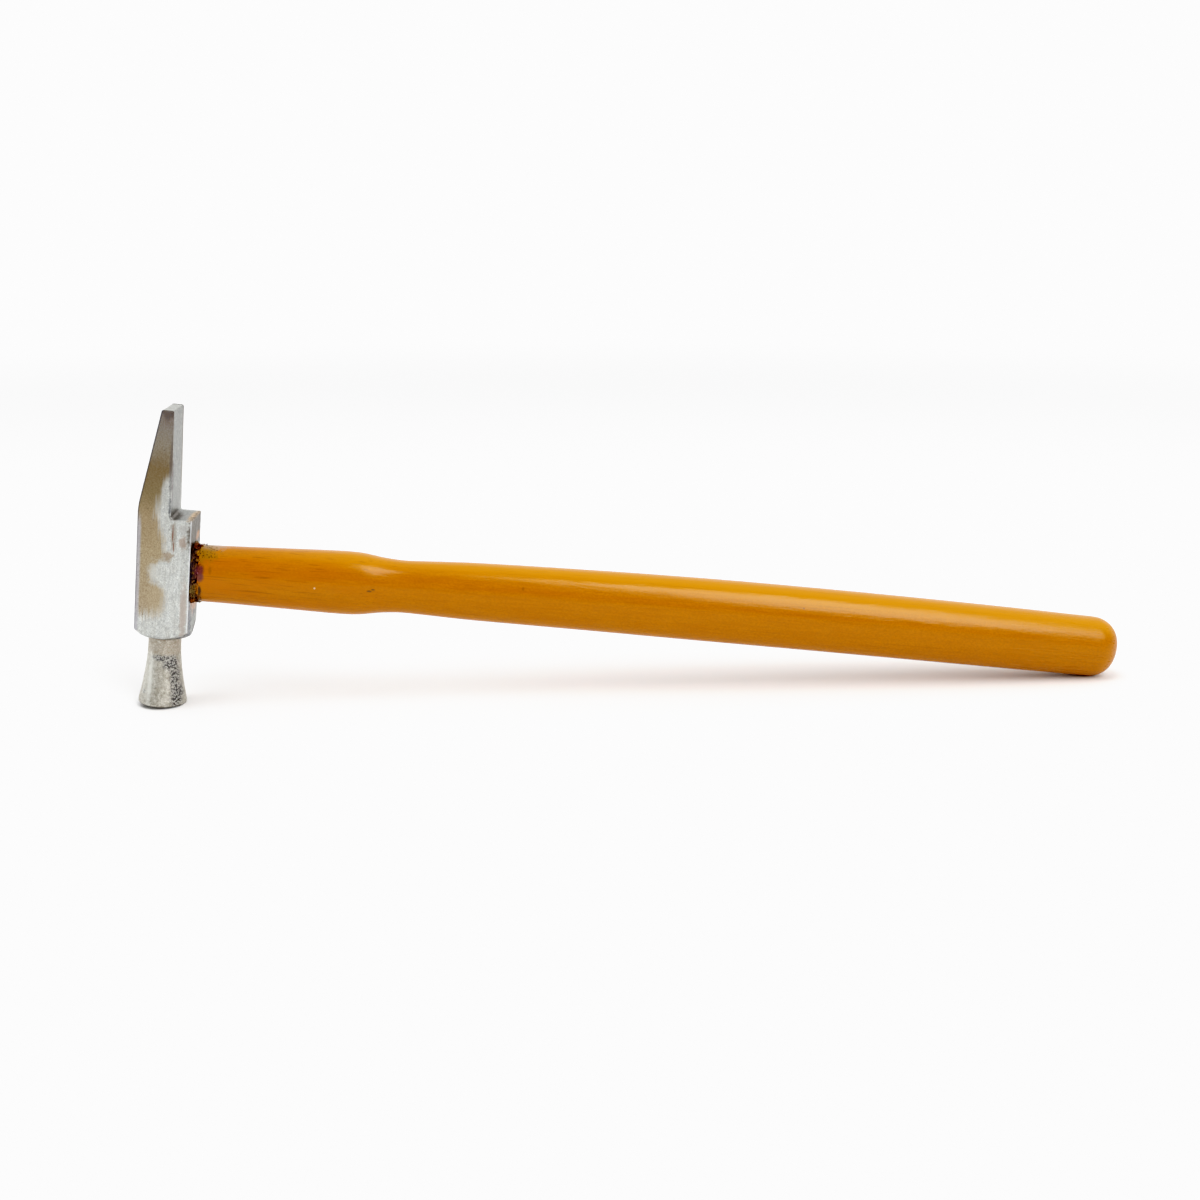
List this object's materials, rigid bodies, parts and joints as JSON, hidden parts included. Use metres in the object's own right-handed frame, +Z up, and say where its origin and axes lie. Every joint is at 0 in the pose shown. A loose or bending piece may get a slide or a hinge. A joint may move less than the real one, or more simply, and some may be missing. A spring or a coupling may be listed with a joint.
{
  "type": "cross peen pin hammer",
  "caption": "Slim hand hammer for light metalwork: square steel head with a wedge peen above and a flared round striking plug below, on an arched oval painted wooden handle.",
  "frame": {"origin": "on the table, under the middle of the hammer as it lies at rest on the rim of its striking face and the underside of its butt", "axes": "+X from the head to the butt, level with the table; +Z up, with the peen; +Y to the side, so the hammer is the same on both sides of the plane y = 0. The hammer's own axis is tilted down towards the butt by about 6.5 degrees."},
  "size_m": [0.2892, 0.015, 0.0843],
  "materials": {
    "head_steel": "ground bright steel with a brown oxide stain over the outer half of each cheek",
    "plug_steel": "rough forged and pitted steel",
    "painted_wood": "semi-gloss mustard paint over wood, brushed lengthwise, worn at the head",
    "bare_wood": "bare end grain, dirty",
    "wedge_steel": "dull dark steel",
    "dark_filler": "ragged dried adhesive with rust-red and orange crumbs"
  },
  "bodies": {
    "root": {"head": "head_steel", "striking_plug": "plug_steel", "handle": "painted_wood", "eye_wedge": "bare_wood", "cross_wedge": "wedge_steel", "joint_filler": "dark_filler"}
  },
  "joints": []
}
